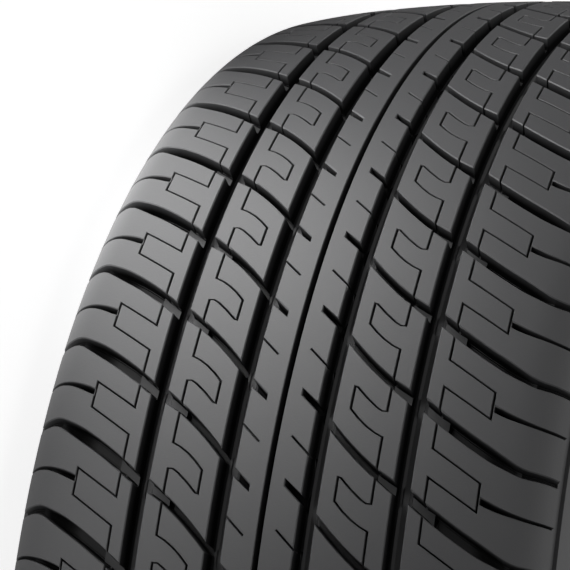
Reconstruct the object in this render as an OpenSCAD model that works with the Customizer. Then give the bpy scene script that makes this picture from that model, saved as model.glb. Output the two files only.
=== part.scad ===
// Car tyre, size 205/55 R16, lying on its sidewall with its axis upright.
// The origin is on the axle line, midway between the two sidewalls.
// The tread reads the same when the tyre is turned over, so only its lower half is drawn.

/* [Size] */
// Diameter over the middle of the tread
overall_d = 632; // [620:1:650]
// Width over the widest part of both sidewalls
section_w = 215; // [209:1:223]
// Diameter of the rim's bead seat
seat_d = 405.6; // [401:0.1:410]
// Width between the rim's flanges
rim_w = 165; // [155:1:172]

/* [Casing] */
// Rubber and belts from the tread's surface to the air space
crown_t = 15.5; // [13:0.5:19]
// Thickness of the sidewall at its widest part
side_t = 6; // [4.5:0.5:9]
// Width of the bead's cylindrical seat
seat_w = 15; // [10:1:18]
// Height of the stiff bead above its seat
bead_h = 17; // [14:0.5:19]
// Height of the rim's flange above the bead seat
flange_h = 17.3; // [16:0.1:18]
// Radius of the rim's flange, which the bead hugs
flange_r = 9.5; // [8:0.5:11]

/* [Crown] */
// Radius of the crown across the tread
crown_r = 750; // [600:10:1200]
// Slope at which the crown passes into the shoulder, in degrees
crown_a = 4; // [3:0.25:5]
// Slope at the outer edge of the tread, in degrees
edge_a = 10; // [8:0.5:13]
// Radius of the tread's outer edge
edge_r = 22; // [18:1:26]
// Slope at which the tread's edge passes into the sidewall, in degrees
wall_a = 70; // [64:1:74]
// Radius of the upper sidewall
wall_r = 120; // [90:5:140]

/* [Main grooves] */
// Depth of the four main grooves
groove_d = 8; // [5:0.25:9]
// Width of a main groove at the surface
groove_w = 6.8; // [5:0.1:8]
// Width of a main groove's floor
groove_floor = 4.2; // [3:0.1:5]
// Distance from the centre line to the inner main grooves
inner_y = 16.2; // [15:0.1:18]
// Distance from the centre line to the outer main grooves
outer_y = 48.2; // [47:0.1:50]
// Width of the thin centre groove
thin_w = 2.6; // [1.5:0.1:4]
// Depth of the thin centre groove
thin_d = 6; // [4:0.25:7.5]

/* [Cross grooves] */
// Number of times that the pattern repeats round the tyre
pitches = 58; // [52:1:62]
// Depth of the grooves across the tread
cross_d = 6.5; // [4.5:0.25:6.75]
// Width of the shoulder's full groove, along the tread
full_w = 5.6; // [4:0.1:6.6]
// Width of the shoulder's half groove, along the tread
half_w = 2.9; // [2:0.1:4]
// How far the half groove reaches in from the edge of the tread
half_in = 8.7; // [6:0.1:12]
// Width of the middle rib's groove, along the tread
mid_w = 4.4; // [3:0.1:6]

/* [Centre ribs] */
// Depth of the notches
notch_d = 5.6; // [3:0.2:7]
// Length of a notch, measured across the tread
notch_l = 6.1; // [4:0.1:8]
// Width of a notch, along the tread
notch_w = 3.3; // [2:0.1:4.5]

/* [Shoulder side] */
// Slope of the shoulder at which its blocks end, in degrees
end_a = 59; // [54:1:60]
// Height of the recess under the ends of the blocks, in degrees of the shoulder's arc
recess_a = 6; // [3:0.5:8]
// Depth of that recess
recess_d = 1.2; // [0.6:0.1:2]
// Thickness of the rim guard ring on the lower sidewall
guard_t = 0.9; // [0.4:0.1:2]

/* [Hidden] */
black = [0.14, 0.14, 0.145];
R = overall_d / 2;
W = section_w / 2;
rim_y = rim_w / 2;
seat_r = seat_d / 2;
pitch = 2 * PI * R / pitches;
// Cutters reach this far past the surface that they open
over = 3;

// Outlines are lists of [distance from the centre line, radius].
// An arc runs from slope a0 to slope a1; at slope 0 it faces away from the axle.
function arc(c, rad, a0, a1, n, first = 1) =
    [for (i = [first : n]) let (a = a0 + (a1 - a0) * i / n) [c[0] + rad * sin(a), c[1] + rad * cos(a)]];
// Centre of an arc of radius rad that carries on smoothly from another one at slope a
function next_centre(c, rad_before, rad, a) =
    [c[0] + (rad_before - rad) * sin(a), c[1] + (rad_before - rad) * cos(a)];
function backwards(l) = [for (i = [len(l) - 1 : -1 : 0]) l[i]];
function other_side(l) = [for (p = l) [-p[0], p[1]]];
function without_first(l) = [for (i = [1 : len(l) - 1]) l[i]];
function as_section(l) = [for (p = l) [p[1], p[0]]];

// The shoulder's radius follows from the section width, because every arc meets the next smoothly
edge_y = W - wall_r * (1 - sin(wall_a)) - edge_r * (sin(wall_a) - sin(edge_a));
shoulder_r = (edge_y - crown_r * sin(crown_a)) / (sin(edge_a) - sin(crown_a));
crown_c = [0, R - crown_r];
shoulder_c = next_centre(crown_c, crown_r, shoulder_r, crown_a);
edge_c = next_centre(shoulder_c, shoulder_r, edge_r, edge_a);
wall_c = next_centre(edge_c, edge_r, wall_r, wall_a);
wide_r = wall_c[1];

// Radius of the tread's surface at a distance y from the centre line
function tread_r(y) = y < crown_r * sin(crown_a)
    ? crown_c[1] + sqrt(pow(crown_r, 2) - pow(y, 2))
    : shoulder_c[1] + sqrt(pow(shoulder_r, 2) - pow(y - shoulder_c[0], 2));

// Slope of the surface there, in degrees
function tread_slope(y) = y < crown_r * sin(crown_a)
    ? asin(y / crown_r)
    : asin((y - shoulder_c[0]) / shoulder_r);

// Outside, from the middle of the tread to the bead's heel
lower_r = 62;
lower_a = 116;
lower_c = [W - lower_r, wide_r];
guard = [lower_c[0] + lower_r * sin(lower_a), lower_c[1] + lower_r * cos(lower_a)];
heel_r = 5;
outside = concat(
    arc(crown_c, crown_r, 0, crown_a, 2, 0),
    arc(shoulder_c, shoulder_r, crown_a, edge_a, 2),
    arc(edge_c, edge_r, edge_a, end_a, 4),
    arc(edge_c, edge_r - recess_d, end_a + 1, end_a + recess_a, 1, 0),
    arc(edge_c, edge_r, end_a + recess_a + 2, wall_a, 1, 0),
    arc(wall_c, wall_r, wall_a, 90, 4),
    arc(lower_c, lower_r, 90, lower_a, 4),
    [for (step = [[1, -2.2], [0.3, -4.6], [-2.6, -5.8]]) guard + [step[0] * guard_t, step[1]]],
    arc([rim_y + flange_r, seat_r + flange_h - flange_r], flange_r, 0, -90, 4, 0),
    arc([rim_y - heel_r, seat_r + heel_r], heel_r, 90, 180, 3, 0)
);

// Inside, from the middle of the air space to the bead's toe
in_crown_r = 620;
in_edge_r = 34;
in_edge_y = edge_y - 22;
in_a = asin(in_edge_y / in_crown_r);
in_crown_c = [0, R - crown_t - in_crown_r];
in_edge_c = next_centre(in_crown_c, in_crown_r, in_edge_r, in_a);
in_side_y = W - side_t;
toe_y = rim_y - heel_r - seat_w;
// The wall above the bead is never thinner than the sidewall
bead_y = min(rim_y + 2, guard[0] - side_t - 1.5);
inside = concat(
    arc(in_crown_c, in_crown_r, 0, in_a, 3, 0),
    arc(in_edge_c, in_edge_r, in_a, 64, 4),
    [for (step = [[1, 13], [0, 0], [1.8, -14], [8, -26]]) [in_side_y - step[0], wide_r + step[1]]],
    [[bead_y, seat_r + bead_h],
     [bead_y - 10, seat_r + bead_h / 2],
     [toe_y + 2.5, seat_r + 4.5],
     [toe_y, seat_r + 1.6],
     [toe_y, seat_r]]
);

// The whole ring of rubber, before any groove
module casing() {
    rotate_extrude($fn = 180)
        polygon(as_section(concat(
            outside,
            backwards(inside),
            without_first(other_side(inside)),
            backwards(without_first(other_side(outside))))));
}

// A groove round the tyre, with sloped walls and a floor that is rounded into them
module round_groove(y, mouth, bottom, depth) {
    r = tread_r(abs(y));
    m = mouth / 2;
    f = bottom / 2;
    lean = (m - f) * over / depth;
    rotate_extrude($fn = 180)
        polygon(as_section([
            [y - m - lean, r + over],
            [y - f, r - depth + 1],
            [y - f + 1, r - depth],
            [y + f - 1, r - depth],
            [y + f, r - depth + 1],
            [y + m + lean, r + over]]));
}

// Centre lines of the cross grooves: how far along the tread they lie at a distance y.
// Both kinds of shoulder groove curve until they run straight down the shoulder's side.
block_y = outer_y + groove_w / 2;
rib_y = outer_y - groove_w / 2;
half_y = edge_y - half_in;
function full_line(y) =
    let (u = min(y, edge_y + 4) - block_y) 14 - 0.76 * u + 0.0038 * pow(u, 2);
function half_line(y) =
    let (u = min(y - half_y, 18)) 14.8 - 0.56 * u + 0.0135 * pow(u, 2);
function mid_line(y) = 17.6 + 0.6 * (rib_y - y) + 0.0085 * pow(rib_y - y, 2);

// Three equal steps across a block, for the corners of a groove's outline
function across(y0, y1) = [for (i = [0 : 3]) y0 + (y1 - y0) * i / 3];

// Outline of a groove whose centre line passes through the points [y, distance along the tread]
function band(line, w) = concat(
    [for (p = line) [-p[0], p[1] - w / 2]],
    [for (p = backwards(line)) [-p[0], p[1] + w / 2]]);

// A cutter with that outline, moved along the tread by s and pushed in from outside.
// It stands square to the surface at the distance y, where it reaches the given depth.
module cutter(s, y, depth, outline) {
    middle = (min([for (p = outline) p[1]]) + max([for (p = outline) p[1]])) / 2;
    rotate([0, 0, (s + middle) / R * 180 / PI])
        translate([tread_r(y), 0, -y])
            rotate([0, tread_slope(y), 0])
                translate([2 * over, 0, 0])
                    rotate([0, -90, 0])
                        linear_extrude(2 * over + depth)
                            polygon([for (p = outline) [p[0] + y, p[1] - middle]]);
}

module cross_cutters() {
    shoulder_end = edge_y + 6;
    full = band([for (y = concat(across(block_y - 2, shoulder_end), W)) [y, full_line(y)]], full_w);
    half = band([for (y = [half_y, shoulder_end, W]) [y, half_line(y)]], half_w);
    mid = band([for (y = across(inner_y + 1, outer_y - 1)) [y, mid_line(y)]], mid_w);
    for (k = [0 : pitches - 1]) {
        cutter(k * pitch, edge_y - 14, cross_d, full);
        cutter(k * pitch, edge_y - 6, cross_d, half);
        cutter(k * pitch, (inner_y + outer_y) / 2, cross_d, mid);
    }
}

// The notches that open a centre rib to its main groove
module rib_cutters() {
    mouth_y = inner_y - groove_w / 2;
    notch = band([[mouth_y + 1, 11.5], [mouth_y - notch_l, 17.5]], notch_w);
    for (k = [0 : pitches - 1]) cutter(k * pitch, inner_y - 6, notch_d, notch);
}

// The lower half of the pattern
module half_pattern() {
    cross_cutters();
    rib_cutters();
}

module tyre() {
    color(black) difference() {
        casing();
        for (y = [inner_y, outer_y, -inner_y, -outer_y]) round_groove(y, groove_w, groove_floor, groove_d);
        round_groove(0, thin_w, thin_w * 0.9, thin_d);
        half_pattern();
        rotate([180, 0, 0]) half_pattern();
    }
}

tyre();
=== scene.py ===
"""The looks of a car tyre: a finely cut tread on a smooth casing, in two closed halves.

Lengths in the shape functions are millimetres, and the mesh is made in metres.
q is the distance from the tread's centre line: along the axle up to the tread's edge, and along
the surface from there on. s is the distance along the tread. The lower half is worked out, and
the upper half is the same half turned over.
"""
import math

import bpy
import numpy as np
from mathutils import Matrix, Vector
from mathutils.geometry import delaunay_2d_cdt


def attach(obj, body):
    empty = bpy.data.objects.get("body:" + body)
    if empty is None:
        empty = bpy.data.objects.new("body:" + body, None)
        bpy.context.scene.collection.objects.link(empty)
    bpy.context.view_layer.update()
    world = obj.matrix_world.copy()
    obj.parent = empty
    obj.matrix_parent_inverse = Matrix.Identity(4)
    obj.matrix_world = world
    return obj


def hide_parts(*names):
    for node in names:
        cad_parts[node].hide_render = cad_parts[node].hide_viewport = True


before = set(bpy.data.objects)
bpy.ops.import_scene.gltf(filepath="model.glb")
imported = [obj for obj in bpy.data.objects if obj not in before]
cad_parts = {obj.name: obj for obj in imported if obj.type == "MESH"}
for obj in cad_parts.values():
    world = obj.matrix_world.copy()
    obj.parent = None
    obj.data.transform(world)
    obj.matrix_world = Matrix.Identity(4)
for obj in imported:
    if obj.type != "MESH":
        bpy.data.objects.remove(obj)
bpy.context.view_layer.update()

MM_PER_M = 1000

# Sizes, as in the part's source
TREAD_R = 316.0
HALF_W = 107.5
SEAT_R = 202.8
RIM_Y = 82.5
SEAT_W = 15
HEEL_R = 5.0
PITCHES = 58
PITCH = 2 * math.pi * TREAD_R / PITCHES
CROWN_R, EDGE_R, WALL_R = 750.0, 22.0, 120.0
CROWN_A, EDGE_A, WALL_A = 4.0, 10.0, 70.0

# Faces of the casing along one pitch
ROWS = 4
# The crown lies this much under the solid's, so that both halves stay inside the solid's box
CROWN_DROP = 0.12
# An edge between two faces that turn by more than this many degrees looks sharp
SHARP_A = 16

# Casing


def sind(a):
    """Sine of an angle in degrees."""
    return math.sin(math.radians(a))


def cosd(a):
    """Cosine of an angle in degrees."""
    return math.cos(math.radians(a))


def arc(centre, radius, a0, a1, n, first=1):
    """Points of an arc from slope a0 to a1 in degrees; at slope 0 it faces away from the axle."""
    a = np.radians(a0 + (a1 - a0) * np.arange(first, n + 1) / n)
    return np.stack([centre[0] + radius * np.sin(a), centre[1] + radius * np.cos(a)], 1)


def next_centre(centre, before, radius, a):
    """Centre of an arc that carries on smoothly from an arc of radius before at slope a."""
    return centre[0] + (before - radius) * sind(a), centre[1] + (before - radius) * cosd(a)


# The shoulder's radius follows from the width, because every arc meets the next smoothly
EDGE_Y = HALF_W - WALL_R * (1 - sind(WALL_A)) - EDGE_R * (sind(WALL_A) - sind(EDGE_A))
SHOULDER_R = (EDGE_Y - CROWN_R * sind(CROWN_A)) / (sind(EDGE_A) - sind(CROWN_A))
CROWN_C = (0.0, TREAD_R - CROWN_DROP - CROWN_R)
SHOULDER_C = next_centre(CROWN_C, CROWN_R, SHOULDER_R, CROWN_A)
EDGE_C = next_centre(SHOULDER_C, SHOULDER_R, EDGE_R, EDGE_A)
WALL_C = next_centre(EDGE_C, EDGE_R, WALL_R, WALL_A)
WIDE_R = WALL_C[1]


def tread_outline():
    """Points from the middle of the tread to the widest part of the sidewall: q, place and slope.

    The outline is four arcs: crown, shoulder, tread edge and upper sidewall. q is the sum of the
    steps between the points, measured along the axle on the tread and whole from there on.
    """
    arcs = ((CROWN_C, CROWN_R, 0, CROWN_A, 40), (SHOULDER_C, SHOULDER_R, CROWN_A, EDGE_A, 24),
            (EDGE_C, EDGE_R, EDGE_A, WALL_A, 40), (WALL_C, WALL_R, WALL_A, 90, 24))
    place = np.concatenate([arc(*arcs[0], 0)] + [arc(*a) for a in arcs[1:]])
    slope = [np.linspace(a0, a1, n + 1)[1:] for _, _, a0, a1, n in arcs]
    steps = np.hypot(*np.diff(place, axis=0).T)
    on_tread = place[1:, 0] <= EDGE_Y + 1e-6
    steps[on_tread] = np.diff(place[:, 0])[on_tread]
    q = np.concatenate([[0.0], np.cumsum(steps)])
    return q, place, np.radians(np.concatenate([[0.0]] + slope))


OUTLINE_Q, OUTLINE, SLOPES = tread_outline()


def on_surface(q, depth):
    """Axial distance and radius of the point at q on the outline, moved in along its normal."""
    z = np.interp(q, OUTLINE_Q, OUTLINE[:, 0])
    r = np.interp(q, OUTLINE_Q, OUTLINE[:, 1])
    a = np.interp(q, OUTLINE_Q, SLOPES)
    return z - depth * np.sin(a), r - depth * np.cos(a)


# The blocks end at END_Q, where the surface drops into a recess, and the tile ends at LAST_Q.
# The recess rises to the sidewall again between the two values of RISE_Q.
END_Q = 102.3
RECESS_Q = END_Q + 0.35
GROOVE_Q = END_Q + 0.5
LAST_Q = END_Q + 1.2
RISE_Q = (105.0, 105.6)
RECESS = 1.3


def outer_casing():
    """From the recess down the sidewall, over the rim guard ring and the flange's seat, to the
    bead's heel."""
    lower_r, lower_a = 62.0, 116.0
    lower_c = (HALF_W - lower_r, WIDE_R)
    guard = np.array([lower_c[0] + lower_r * sind(lower_a), lower_c[1] + lower_r * cosd(lower_a)])
    guard_t, flange_h, flange_r = 0.9, 17.3, 9.5
    flange_c = (RIM_Y + flange_r, SEAT_R + flange_h - flange_r)
    heel_c = (RIM_Y - HEEL_R, SEAT_R + HEEL_R)
    down = np.concatenate([[RISE_Q[0] - 0.7, RISE_Q[0]], RISE_Q[1] + np.array([0, 0.4]),
                           np.linspace(108, OUTLINE_Q[-1], 10)])
    return np.concatenate([
        np.stack(on_surface(down, np.where(down <= RISE_Q[0], RECESS, 0.0)), 1),
        arc(lower_c, lower_r, 90, lower_a, 8),
        guard + np.array([[1, -1.2], [1.05, -2.4], [0.8, -3.8], [0.1, -4.8]]) * [guard_t, 1],
        guard + np.array([[-2.8, -5.8]]),
        arc(flange_c, flange_r, 0, -90, 8, 0),
        arc(heel_c, HEEL_R, 90, 180, 6, 0)])


def air_side():
    """From the middle of the air space to the bead's seat: crown, edge, sidewall, bead and toe."""
    crown_t, side_t, bead_h = 15.5, 6, 17
    crown_r, edge_r, side_a = 620.0, 34.0, 64
    edge_y = EDGE_Y - 22
    edge_a = math.degrees(math.asin(edge_y / crown_r))
    crown_c = (0.0, TREAD_R - crown_t - crown_r)
    edge_c = next_centre(crown_c, crown_r, edge_r, edge_a)
    toe = RIM_Y - HEEL_R - SEAT_W
    return np.concatenate([
        arc(crown_c, crown_r, 0, edge_a, 5, 0),
        arc(edge_c, edge_r, edge_a, side_a, 7),
        np.array([[HALF_W - 7, WIDE_R + 13], [HALF_W - side_t, WIDE_R],
                  [HALF_W - 7.8, WIDE_R - 14], [HALF_W - 14, WIDE_R - 26],
                  [RIM_Y + 2, SEAT_R + bead_h], [RIM_Y - 8, SEAT_R + 8.5],
                  [toe + 2.5, SEAT_R + 4.5], [toe, SEAT_R + 1.6], [toe, SEAT_R]])])


def casing_path():
    """The rest of the lower half's outline: from the recess round to the air space's middle."""
    return np.concatenate([outer_casing(), air_side()[::-1]]) * [-1, 1]


# The pattern is turned this far along the tread against the solid's
SHIFT = 0.9
# The two main grooves of a half, each from q to q
INNER = (12.8, 19.8)
OUTER = (44.8, 51.7)
# Where the middle rib's and the shoulder's cross grooves start, beside the outer main groove
RIB_Q = 44.8
BLOCK_Q = 51.6
# Where the half groove starts
HALF_Q = 74.7
# Half the width of the middle rib's cross groove, away from the outer main groove
RIB_HALF = 2.15
# A cross groove's outline runs on this far into the main groove beside it
OVERLAP = 2

# Steps of a groove, each (how far it lies in from the groove's edge, depth inside it)
LIP = (0.35, 0.4)
MAIN_STEPS = ((0, 0), LIP, (0.75, 6.2), (1.3, 7.1), (2.4, 7.5))
FULL_STEPS = ((0, 0), LIP, (0.75, 4.3), (1.35, 4.75))
RIB_STEPS = ((0, 0), LIP, (0.75, 4.3), (1.2, 4.75))
NOTCH_STEPS = ((0, 0), LIP, (0.6, 5.0), (0.85, 5.6))
# Steps of a deep floor, each (q where it ends beside the main groove, how far in, depth)
FULL_DEEP = ((60.0, 0.8, 4.8), (60.4, 1.0, 6.4), (61.0, 1.5, 6.9))
RIB_DEEP = ((37.9, 0.8, 4.8), (37.5, 0.95, 6.4), (36.9, 1.35, 6.9))
# Steps of the half groove, each (share of its width, depth)
HALF_STEPS = ((1, 0), (0.78, 0.35), (0.6, 4.9), (0.42, 5.4))
# Steps of the centre groove, of the centre rib's thin cut and of a sipe, each (half width, depth)
CENTRE_STEPS = ((1.3, 0), (1.05, 0.3), (0.8, 5.4), (0.4, 6.0))
CUT_STEPS = ((0.46, 0), (0.3, 0.3), (0.22, 4.5))
SIPE_STEPS = ((0.31, 0), (0.21, 0.25), (0.16, 4.6))


# Paths and outlines


def resampled(line, step):
    """The same path with no segment longer than step."""
    line = np.asarray(line, float)
    out = [line[:1]]
    for a, b in zip(line[:-1], line[1:]):
        n = max(1, int(math.ceil(np.hypot(*(b - a)) / step)))
        out.append(a + (b - a) * (np.arange(1, n + 1) / n)[:, None])
    return np.concatenate(out)


def across(q0, q1, step):
    """Even distances from q0 to q1, no further apart than step."""
    return np.linspace(q0, q1, max(2, int(math.ceil((q1 - q0) / step)) + 1))


def over_shoulder(q0, step):
    """Distances from q0 to the tread's edge, and closer ones from there into the recess."""
    shoulder_step = 2.6
    return np.concatenate([across(q0, EDGE_Y, step), across(EDGE_Y, GROOVE_Q, shoulder_step)[1:]])


def between(one_side, other_side):
    """Outline between two paths that run the same way."""
    return np.concatenate([one_side, other_side[::-1]])


def lengthwise(low, high):
    """Outline of a straight groove along the tread, longer than the tile at both ends."""
    s = resampled([[0, -PITCH / 2], [0, 1.5 * PITCH]], PITCH / 8)[:, 1]
    return between(np.stack([np.full_like(s, low), s], 1), np.stack([np.full_like(s, high), s], 1))


def band(q, centre, half_width):
    """Outline of a groove that is 2 half_width wide along the tread about its centre line."""
    return between(np.stack([q, centre - half_width], 1), np.stack([q, centre + half_width], 1))


def slit(line, half_width, ends=0.0):
    """Outline of a path of even width, made longer by ends at both of its ends.

    Each point moves to both sides along its mitre, as far as keeps both walls half_width away.
    """
    line = np.array(line, float)
    d = np.diff(line, axis=0)
    d /= np.hypot(*d.T)[:, None]
    line[0] -= d[0] * ends
    line[-1] += d[-1] * ends
    before = np.concatenate([d[:1], d])
    after = np.concatenate([d, d[-1:]])
    mitre = np.stack([-(before + after)[:, 1], (before + after)[:, 0]], 1)
    mitre /= np.hypot(*mitre.T)[:, None]
    normal = np.stack([-before[:, 1], before[:, 0]], 1)
    sharpest = 0.3
    mitre *= (half_width / np.maximum(sharpest, (mitre * normal).sum(1)))[:, None]
    return between(line - mitre, line + mitre)


# The grooves of one pitch. Each function gives a list of (outline, depth inside it).


def main_groove(low, high):
    """A straight groove along the tread with sloped walls."""
    return [(lengthwise(low + inset, high - inset), depth) for inset, depth in MAIN_STEPS]


def centre_groove():
    """The thin groove on the centre line."""
    return [(lengthwise(half, -half), depth) for half, depth in CENTRE_STEPS]


def full_line(q):
    """Centre of the full groove: a parabola up to bend_q, whose slope then fades to nothing."""
    bend_q, bend, bend_slope = 85, 6, 0.494
    start_s, slope, curve = 14, 0.775, 0.0042
    u = np.minimum(q, bend_q) - BLOCK_Q
    x = np.clip(q - bend_q, 0, bend)
    return start_s - slope * u + curve * u ** 2 - bend_slope * (x - x * x / (2 * bend))


def full_half(q):
    """Half the width of the full groove along the tread: it narrows over the shoulder."""
    return np.interp(q, [50, 76, 80, 85, 90, 100], [3.0, 2.95, 2.7, 2.2, 1.85, 1.65])


def full_groove(at):
    """The shoulder's full groove: a raised floor beside the main groove, then the deep floor."""
    q = over_shoulder(BLOCK_Q - OVERLAP, step=4.0)
    shapes = [(band(q, full_line(q) + at, full_half(q) - inset), depth)
              for inset, depth in FULL_STEPS]
    for start, inset, depth in FULL_DEEP:
        deep = np.concatenate([[start], q[q > start + 1.0]])
        shapes.append((band(deep, full_line(deep) + at, full_half(deep) - inset), depth))
    return shapes


def half_line(q):
    """Centre of the half groove: a parabola that comes level after its length."""
    start_q, length = 74.8, 22
    start_s, slope, curve = 14.8, 0.52, 0.0118
    x = np.clip(q - start_q, 0, length)
    return start_s - slope * x + curve * x * x


def half_half(q):
    """Half the width of the half groove along the tread: it narrows over the shoulder."""
    return np.interp(q, [HALF_Q, 78, 80, 85, 90, 100], [1.6, 1.55, 1.4, 1.0, 0.75, 0.6])


def half_groove(at):
    """The shoulder's half groove. Its narrower steps start further out, by a share of setback."""
    setback = 1.5
    q = over_shoulder(HALF_Q, step=3.0)
    shapes = []
    for share, depth in HALF_STEPS:
        q = np.concatenate([[HALF_Q + setback - setback * share], q[1:]])
        shapes.append((band(q, half_line(q) + at, share * half_half(q)), depth))
    return shapes


def rib_line(q):
    """Centre of the middle rib's cross groove: a parabola from the outer main groove inward."""
    start_s, slope, curve = 17.5, 0.63, 0.0086
    u = RIB_Q - q
    return start_s + slope * u + curve * u ** 2


def rib_half(q):
    """Half the width of the middle rib's cross groove: it widens to the outer main groove."""
    return np.interp(q, [30, 40, 45], [RIB_HALF, 2.3, 2.8])


def rib_groove(at):
    """The middle rib's cross groove: a raised floor beside the outer main groove, then a deep
    one."""
    q = across(INNER[1] - OVERLAP, OUTER[0] + OVERLAP, step=4.0)
    shapes = [(band(q, rib_line(q) + at, rib_half(q) - inset), depth)
              for inset, depth in RIB_STEPS]
    for stop, inset, depth in RIB_DEEP:
        deep = np.concatenate([q[q < stop - 1.0], [stop]])
        shapes.append((band(deep, rib_line(deep) + at, RIB_HALF - inset), depth))
    return shapes


# The notch and the thin cut both open into the inner main groove here
MOUTH_Q = 13.6


def notch(at):
    """A short groove into the centre rib, a little narrower at its blind end."""
    mouth_s, mouth_half = 11.28, 1.9
    tip_q, tip_s, tip_half = 6.1, 17.5, 1.6
    return [(np.array([[MOUTH_Q, mouth_s - mouth_half + inset + at],
                       [tip_q + inset, tip_s - tip_half + inset + at],
                       [tip_q + inset, tip_s + tip_half - inset + at],
                       [MOUTH_Q, mouth_s + mouth_half - inset + at]]), depth)
            for inset, depth in NOTCH_STEPS]


def thin_cut(at):
    """The centre rib's thin cut, about half a pitch from the notch. Its narrower steps are
    shorter too."""
    mouth_s, tip_q, tip_s = -6.68, 5.8, 0.4
    line = [[MOUTH_Q, mouth_s + at], [tip_q, tip_s + at]]
    widest = CUT_STEPS[0][0]
    return [(slit(line, half, -(widest - half)), depth) for half, depth in CUT_STEPS]


def sipe(line):
    """A fine cut along a path, wider where it runs along the tread than where it crosses it."""
    squeeze = np.array([0.55, 1])
    longest = 5.5
    path = resampled(line * squeeze, longest)
    return [(slit(path, half) / squeeze, depth) for half, depth in SIPE_STEPS]


def shoulder_sipe(at):
    """The shoulder's sipe: a Z between two distances from the centre line, with straight ends."""
    near, far = 56.8, 74.7
    return sipe(np.array([[near, 12.0], [near, 21.6], [far, 10.4], [far, 20.7],
                          [near, 32.2], [near, 42.6]]) + [0, at])


def rib_sipe(at):
    """The middle rib's sipe, like an S: a parabola across the rib, a way back, straight ends."""
    outer, width = 38.5, 13.2
    inner = outer - width
    w = np.linspace(0, width, 5)
    curve = np.stack([outer - w, 1.13 + 0.42 * w + 0.027 * w * w], 1)
    back = [[inner, 20.1], [26.3, 19.8], [30.4, 15.8], [34.4, 12.4], [36.6, 11.0],
            [outer, 10.9], [outer, 20.6]]
    return sipe(np.concatenate([[[outer, -11.2]], curve, back]) + [0, at])


def groove_shapes():
    """Every outline that can reach the lower half's tile, with the depth inside it."""
    repeated = (full_groove, half_groove, rib_groove, notch, thin_cut, shoulder_sipe, rib_sipe)
    shapes = main_groove(*INNER) + main_groove(*OUTER) + centre_groove()
    for k in range(-2, 3):
        for groove in repeated:
            shapes += groove(k * PITCH + SHIFT)
    return shapes


# The tile: one pitch of the lower half


def distance(points, a, b):
    """Distance from each point to the nearest of the segments a to b."""
    d = b - a
    n = np.maximum((d * d).sum(1), 1e-12)
    t = np.clip(((points[:, None] - a) * d).sum(2) / n, 0, 1)
    return np.sqrt((((points[:, None] - a) - t[..., None] * d) ** 2).sum(2)).min(1)


def inside(points, outline, reach):
    """True where a point is inside the outline or within reach of it.

    A point is inside where a line from it towards larger q crosses the outline an odd number
    of times.
    """
    x, y = points[:, :1], points[:, 1:]
    a, b = outline, np.roll(outline, -1, axis=0)
    up = (a[:, 1] <= y) != (b[:, 1] <= y)
    dy = np.where(b[:, 1] == a[:, 1], 1.0, b[:, 1] - a[:, 1])
    crossing = x < a[:, 0] + (y - a[:, 1]) * (b[:, 0] - a[:, 0]) / dy
    odd = (up & crossing).sum(1) % 2 == 1
    return odd | (distance(points, a, b) < reach)


def joined(lines):
    """All corners of the lines as one array, and the pairs of corners that the lines join.

    Each line is (corners, whether it is closed).
    """
    pairs = []
    start = 0
    for corners, closed in lines:
        i = np.arange(len(corners)) + start
        pair = np.stack([i, np.roll(i, -1)], 1)
        pairs.append(pair if closed else pair[:-1])
        start += len(corners)
    return np.concatenate([corners for corners, _ in lines]), np.concatenate(pairs)


def loose_q():
    """Distances of the loose corners, which make the tops follow the crown and the shoulder."""
    tread_step, shoulder_step = 4.6, 2.3
    q = np.concatenate([np.arange(4.0, 84, tread_step),
                        np.arange(85.5, END_Q - 1, shoulder_step)])
    for low, high in (INNER, OUTER):
        q = q[(q < low) | (q > high)]
    return q


def tile_sides(q, is_clear):
    """The tile's rows along the tread and its two sides across it, which have the same corners."""
    s = np.arange(ROWS + 1) * PITCH / ROWS
    rows = [np.stack([np.full_like(s, row_q), s], 1) for row_q in (0.0, END_Q, RECESS_Q, LAST_Q)]
    clear = [is_clear(np.stack([q, np.full_like(q, side_s)], 1)) for side_s in (0.0, PITCH)]
    q = np.concatenate([[0.0], q[clear[0] & clear[1]], [END_Q, RECESS_Q, LAST_Q]])
    sides = [np.stack([q, np.full_like(q, side_s)], 1) for side_s in (0.0, PITCH)]
    return [(line, False) for line in rows + sides]


def triangulated(corners, pairs):
    """Flat triangles of the tile that have every pair of corners as an edge and turn one way."""
    merge = 1e-4
    made = delaunay_2d_cdt([Vector(p) for p in corners], [tuple(e) for e in pairs.tolist()],
                           [], 0, merge, False)
    flat = np.array([tuple(v) for v in made[0]], float)
    triangles = np.array([tuple(t) for t in made[2]], int)
    q, s = flat[triangles].mean(1).T
    triangles = triangles[(q > 0) & (q < LAST_Q) & (s > 0) & (s < PITCH)]
    used, triangles = np.unique(triangles, return_inverse=True)
    flat, triangles = flat[used], triangles.reshape(-1, 3)
    p = flat[triangles]
    u, v = p[:, 1] - p[:, 0], p[:, 2] - p[:, 0]
    backward = u[:, 0] * v[:, 1] - u[:, 1] * v[:, 0] < 0
    triangles[backward] = triangles[backward][:, ::-1]
    return flat, triangles


def sunk(flat, shapes):
    """Depth of each corner: that of the deepest outline that holds it.

    Walls stand between two outlines, and tops stay on the casing's surface. Grooves run out on
    the shoulder's side, and a recess rings the blocks' ends.
    """
    reach, lips = 2e-3, 0.5
    q = flat[:, 0]
    depth = np.zeros(len(flat))
    for outline, floor in shapes:
        if floor:
            depth = np.where(inside(flat, outline, reach), np.maximum(depth, floor), depth)
    run_out = np.interp(q, [76, 80, 84, 88, 92, END_Q], [1, 0.92, 0.7, 0.42, 0.31, 0.28])
    depth = np.where(depth > lips, depth * run_out, depth)
    return np.where(q > (END_Q + RECESS_Q) / 2, RECESS, depth)


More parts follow.
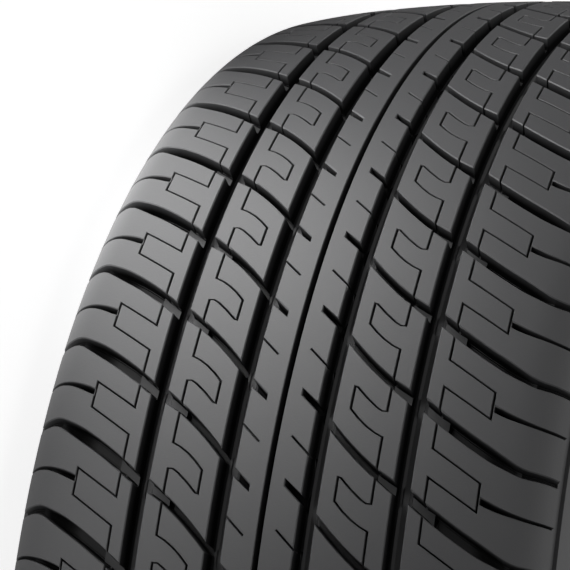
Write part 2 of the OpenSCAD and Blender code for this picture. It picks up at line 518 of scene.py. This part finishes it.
def takes_painted_shade(p, d):
    """Whether each triangle, of corners p and depths d, gets a groove wall's painted shade.

    A wall falls by more than it runs and reaches well below the surface. The rounded feet of the
    cross grooves' walls, and the floors of the notches and of the centre groove, get the same
    painted shade.
    """
    u, v = p[:, 1] - p[:, 0], p[:, 2] - p[:, 0]
    du, dv = d[:, 1] - d[:, 0], d[:, 2] - d[:, 0]
    twice = np.maximum(np.abs(u[:, 0] * v[:, 1] - u[:, 1] * v[:, 0]), 1e-9)
    fall = np.hypot(du * v[:, 1] - dv * u[:, 1], dv * u[:, 0] - du * v[:, 0]) / twice
    shallow, deep = d.min(1), d.max(1)
    wall = (fall > 1.7) & (deep > 0.8)
    foot = (fall > 0.3) & (shallow > 1.5) & (deep < 7)
    centre_floor = (shallow > 5.3) & (deep < 6.1) & (p[..., 0].max(1) < 14)
    return wall | foot | centre_floor


def half_tile():
    """One pitch of the lower half: corner positions (q, s), their depths, triangles, and which
    triangles get the groove walls' painted shade.

    The outlines of every groove, of its lip and of its floor are the fixed edges of one flat
    triangulation, and then the corners sink.
    """
    margin, clearance, loose_rows = 8, 0.9, 8
    shapes = groove_shapes()
    lines = [(outline, True) for outline, _ in shapes
             if (outline[:, 1] > -margin).any() and (outline[:, 1] < PITCH + margin).any()]
    corners, pairs = joined(lines)
    a, b = corners[pairs[:, 0]], corners[pairs[:, 1]]

    def is_clear(points):
        """Whether each point keeps its clearance from the outlines."""
        return distance(points, a, b) > clearance

    q = loose_q()
    s = (np.arange(loose_rows) + 0.5) * PITCH / loose_rows
    loose = np.stack(np.meshgrid(q, s, indexing="ij"), -1).reshape(-1, 2)
    corners, pairs = joined(lines + tile_sides(q, is_clear))
    flat, triangles = triangulated(np.concatenate([corners, loose[is_clear(loose)]]), pairs)
    depth = sunk(flat, shapes)
    return flat, depth, triangles, takes_painted_shade(flat[triangles], depth[triangles])


def half_tyre():
    """The lower half as one closed mesh: the tread's tiles, the casing revolved from their last
    row to the middle of the air space, and a flat ring in the middle plane that closes it.

    A tile's angle is s / TREAD_R, plus one pitch's share of the circle for each repeat, and its
    height is minus the distance from the centre line. Tiles share the corners of the sides where
    they meet, and the casing's first and last rows are the tiles' own outer rows.
    """
    flat, depth, triangles, wall = half_tile()
    z, r = on_surface(flat[:, 0], depth)
    angle = np.arange(PITCHES)[:, None] * 2 * math.pi / PITCHES + flat[:, 1] / TREAD_R
    tiles = np.stack([r * np.cos(angle), r * np.sin(angle), np.broadcast_to(-z, angle.shape)], -1)

    def row(column, value):
        """The tile's corners on one of its straight sides, in order."""
        near = 1e-5
        there = np.flatnonzero(np.abs(flat[:, column] - value) < near)
        return there[np.argsort(flat[there, 1 - column])]

    ids = np.arange(PITCHES)[:, None] * len(flat) + np.arange(len(flat))
    ids[:, row(1, PITCH)] = np.roll(ids, -1, axis=0)[:, row(1, 0.0)]
    path = casing_path()
    columns = PITCHES * ROWS
    turn = np.arange(columns) * 2 * math.pi / columns
    casing = np.stack([path[:, 1:] * np.cos(turn), path[:, 1:] * np.sin(turn),
                       path[:, :1] + 0 * turn], -1).reshape(-1, 3)
    rows = np.concatenate([ids[:, row(0, LAST_Q)[:ROWS]].reshape(1, -1),
                           ids.size + np.arange(len(casing)).reshape(-1, columns),
                           ids[:, row(0, 0.0)[:ROWS]].reshape(1, -1)])
    onward = np.roll(rows, -1, axis=1)
    quads = np.stack([rows[:-1], rows[1:], onward[1:], onward[:-1]], -1).reshape(-1, 4)
    faces = np.concatenate([ids[:, triangles].reshape(-1, 3),
                            quads[:, [0, 1, 2]], quads[:, [0, 2, 3]]])
    corners = np.concatenate([tiles.reshape(-1, 3), casing])
    depth = np.concatenate([np.tile(depth, PITCHES), np.zeros(len(casing))])
    walls = np.concatenate([np.tile(wall, PITCHES), np.zeros(2 * len(quads), bool)])
    used, faces = np.unique(faces, return_inverse=True)
    return corners[used], faces.reshape(-1, 3), depth[used], walls


def painted_floor_shade(depth, z):
    """How much painted shade darkens the rubber at a depth and a height from the middle plane,
    from 0 to 1.

    It is 0 on the tops and grows on the cross grooves' narrow floors. It falls back to a lighter
    painted shade on the wide floors of the main grooves, and reaches 1 where the cross grooves run
    out over the shoulder.
    """
    # The darkening is painted shade in the grooves, not a colour of the rubber
    shade = np.interp(depth, [3.0, 4.6, 6.9, 7.2], [0.0, 0.42, 0.72, 0.22])
    run_out = np.interp(np.abs(z), [62, 76], [0.0, 1.0])
    return np.where(depth > RECESS, np.maximum(shade, run_out), shade)


def add_piece(name, corners, faces, depth, walls):
    """A mesh object from whole arrays, shaded smooth except at its edges."""
    mesh = bpy.data.meshes.new(name)
    mesh.vertices.add(len(corners))
    mesh.vertices.foreach_set("co", (corners / MM_PER_M).astype(np.float32).ravel())
    mesh.loops.add(3 * len(faces))
    mesh.loops.foreach_set("vertex_index", faces.astype(np.int32).ravel())
    mesh.polygons.add(len(faces))
    mesh.polygons.foreach_set("loop_start", (3 * np.arange(len(faces))).astype(np.int32))
    mesh.update(calc_edges=True)
    mesh.validate()
    # Painted shade for the groove floors
    shade = painted_floor_shade(depth, corners[:, 2])
    for label, values in (("groove_depth", depth), ("painted_floor_shade", shade)):
        layer = mesh.attributes.new(label, "FLOAT", "POINT")
        layer.data.foreach_set("value", values.astype(np.float32))
    # Faces marked in walls take the second material, whose darkness is painted shade
    mesh.polygons.foreach_set("material_index", walls.astype(np.int32))
    mesh.polygons.foreach_set("use_smooth", np.ones(len(mesh.polygons), bool))
    mesh.set_sharp_from_angle(angle=math.radians(SHARP_A))
    piece = bpy.data.objects.new(name, mesh)
    bpy.context.scene.collection.objects.link(piece)
    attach(piece, "root")
    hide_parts("tyre")
    print(name, "triangles", len(faces), "corners", len(corners))
    return piece


corners, faces, depth, walls = half_tyre()
# The upper half is the lower one turned half way round the X axis
halves = [add_piece("tyre_lower_half", corners, faces, depth, walls),
          add_piece("tyre_upper_half", corners * [1, -1, -1], faces, depth, walls)]

# Rubber


def passing(mat, share, kind, first, second, socket):
    """Makes the socket pass from first to second, two values or two colours, with share."""
    nodes, links = mat.node_tree.nodes, mat.node_tree.links
    mix = nodes.new("ShaderNodeMix")
    mix.data_type = kind
    mix.inputs["A"].default_value = first
    mix.inputs["B"].default_value = second
    links.new(share.outputs["Result"], mix.inputs["Factor"])
    links.new(mix.outputs["Result"], socket)


def fine_grain(mat):
    """The rubber's fine grain: noise of less than a millimetre, as bump."""
    nodes, links = mat.node_tree.nodes, mat.node_tree.links
    place = nodes.new("ShaderNodeTexCoord")
    grain = nodes.new("ShaderNodeTexNoise")
    grain.inputs["Scale"].default_value = 1400
    grain.inputs["Detail"].default_value = 3
    links.new(place.outputs["Object"], grain.inputs["Vector"])
    bump = nodes.new("ShaderNodeBump")
    bump.inputs["Strength"].default_value = 0.12
    bump.inputs["Distance"].default_value = 0.0003
    links.new(grain.outputs["Fac"], bump.inputs["Height"])
    links.new(bump.outputs["Normal"], nodes["Principled BSDF"].inputs["Normal"])


def rubber(name, rough, label, ends, tones, shines):
    """Black rubber with a fine grain. Its grey level and its shine pass from the first to the
    second of tones and shines as the attribute called label passes between the two ends."""
    bluer = 1.044
    mat = bpy.data.materials.new(name)
    mat.use_nodes = True
    nodes, links = mat.node_tree.nodes, mat.node_tree.links
    shader = nodes["Principled BSDF"]
    shader.inputs["Roughness"].default_value = rough
    attribute = nodes.new("ShaderNodeAttribute")
    attribute.attribute_name = label
    share = nodes.new("ShaderNodeMapRange")
    share.inputs["From Min"].default_value, share.inputs["From Max"].default_value = ends
    links.new(attribute.outputs["Fac"], share.inputs["Value"])
    greys = [(tone, tone, tone * bluer, 1) for tone in tones]
    passing(mat, share, "RGBA", *greys, shader.inputs["Base Color"])
    passing(mat, share, "FLOAT", *shines, shader.inputs["Specular IOR Level"])
    fine_grain(mat)
    return mat


# The tread and casing are satin. In the grooves, darker rubber with less shine is painted shade:
# on the floors it follows the painted floor shade, and on a groove's dull walls it deepens with
# depth to deep black.
surfaces = (
    rubber("rubber", 0.5, "painted_floor_shade", (0.0, 1.0), (0.045, 0.003), (0.5, 0.03)),
    rubber("rubber_groove_walls_painted_shade", 0.6, "groove_depth", (0.4, 4.0), (0.022, 0.003), (0.35, 0.03)))
for piece in halves:
    for mat in surfaces:
        piece.data.materials.append(mat)

# Floor, light and camera, in metres

FLOOR_SIZE = 14
# How bright the camera sees the floor, where 1 is white
FLOOR_SEEN = 0.86
# Spots of the light table, each (centre, reach, level)
SPOTS = (((0.37, -0.11, 0), 0.18, 4.6), ((0.48, -0.25, 0), 0.20, 8.3),
         ((0.55, -0.08, 0), 0.20, 4.5), ((0.42, 0.08, 0), 0.20, 1.85))


def spot(mat, place, centre, reach, level):
    """A glow that falls smoothly from level at its centre to nothing at reach."""
    nodes, links = mat.node_tree.nodes, mat.node_tree.links
    far = nodes.new("ShaderNodeVectorMath")
    far.operation = "DISTANCE"
    far.inputs[1].default_value = centre
    links.new(place.outputs["Object"], far.inputs[0])
    glow = nodes.new("ShaderNodeMapRange")
    glow.interpolation_type = "SMOOTHERSTEP"
    glow.inputs["From Max"].default_value = reach
    glow.inputs["To Min"].default_value = level
    glow.inputs["To Max"].default_value = 0.0
    links.new(far.outputs["Value"], glow.inputs["Value"])
    return glow.outputs["Result"]


def light_table(mat, spots, seen):
    """The floor glows with the sum of the spots, and the camera sees it evenly lit instead."""
    nodes, links = mat.node_tree.nodes, mat.node_tree.links
    shader = nodes["Principled BSDF"]
    place = nodes.new("ShaderNodeTexCoord")
    total = spot(mat, place, *spots[0])
    for values in spots[1:]:
        glow = spot(mat, place, *values)
        both = nodes.new("ShaderNodeMath")
        links.new(total, both.inputs[0])
        links.new(glow, both.inputs[1])
        total = both.outputs["Value"]
    ray = nodes.new("ShaderNodeLightPath")
    pick = nodes.new("ShaderNodeMix")
    pick.data_type = "FLOAT"
    links.new(ray.outputs["Is Camera Ray"], pick.inputs["Factor"])
    links.new(total, pick.inputs["A"])
    pick.inputs["B"].default_value = seen
    shader.inputs["Emission Color"].default_value = (1, 1, 1, 1)
    links.new(pick.outputs["Result"], shader.inputs["Emission Strength"])


def add_floor():
    """A plain white floor under the lower sidewall, which is also the light table."""
    mat = bpy.data.materials.new("floor_white")
    mat.use_nodes = True
    shader = mat.node_tree.nodes["Principled BSDF"]
    shader.inputs["Base Color"].default_value = (0.9, 0.9, 0.9, 1)
    shader.inputs["Roughness"].default_value = 0.9
    light_table(mat, SPOTS, FLOOR_SEEN)
    bpy.ops.mesh.primitive_plane_add(size=FLOOR_SIZE, location=(0, 0, -HALF_W / MM_PER_M))
    floor = bpy.context.object
    floor.name = "floor"
    floor.data.materials.append(mat)


def soft_lamp(name, place, target, size, power):
    """A square lamp that faces its target."""
    data = bpy.data.lights.new(name, "AREA")
    data.energy = power
    data.shape = "SQUARE"
    data.size = size
    lamp = bpy.data.objects.new(name, data)
    lamp.location = place
    lamp.rotation_euler = (Vector(target) - Vector(place)).to_track_quat("-Z", "Y").to_euler()
    bpy.context.scene.collection.objects.link(lamp)


def white_world(light):
    """A white backdrop for the camera, and for what mirrors it or lets it through.

    Everything else gets only the small part light of it.
    """
    world = bpy.data.worlds.new("studio")
    bpy.context.scene.world = world
    world.use_nodes = True
    nodes, links = world.node_tree.nodes, world.node_tree.links
    back = nodes["Background"]
    back.inputs["Color"].default_value = (1, 1, 1, 1)
    ray = nodes.new("ShaderNodeLightPath")
    seen = ray.outputs["Is Camera Ray"]
    for kind in ("Is Glossy Ray", "Is Transmission Ray"):
        either = nodes.new("ShaderNodeMath")
        either.operation = "MAXIMUM"
        links.new(seen, either.inputs[0])
        links.new(ray.outputs[kind], either.inputs[1])
        seen = either.outputs["Value"]
    level = nodes.new("ShaderNodeMapRange")
    level.inputs["To Min"].default_value = light
    level.inputs["To Max"].default_value = 1.0
    links.new(seen, level.inputs["Value"])
    links.new(level.outputs["Result"], back.inputs["Strength"])


# The camera was fitted to the photograph: its focal length and the picture's width are pixels
PICTURE_W = 570
FOCAL = 3082
SENSOR = 36
CAMERA_RIGHT = (-0.315668, -0.212622, 0.924741)
CAMERA_UP = (0.547308, -0.836912, -0.005599)
CAMERA_BACK = (0.775117, 0.504351, 0.380557)
CAMERA_PLACE = (1.161742, 0.522851, 0.405331)


def add_camera():
    """The camera at the photograph's viewing angle."""
    data = bpy.data.cameras.new("camera")
    data.sensor_width = SENSOR
    data.lens = FOCAL / PICTURE_W * SENSOR
    data.clip_start = 0.05
    data.clip_end = 50
    camera = bpy.data.objects.new("camera", data)
    columns = (CAMERA_RIGHT, CAMERA_UP, CAMERA_BACK, CAMERA_PLACE)
    camera.matrix_world = Matrix((*zip(*columns), (0, 0, 0, 1)))
    bpy.context.scene.collection.objects.link(camera)
    bpy.context.scene.camera = camera


add_floor()
soft_lamp("top_lamp", place=(0.2, -0.2, 1.7), target=(0.15, -0.15, -0.1), size=1.6, power=6)
white_world(light=0.02)
add_camera()

bpy.context.scene.view_settings.view_transform = "Standard"
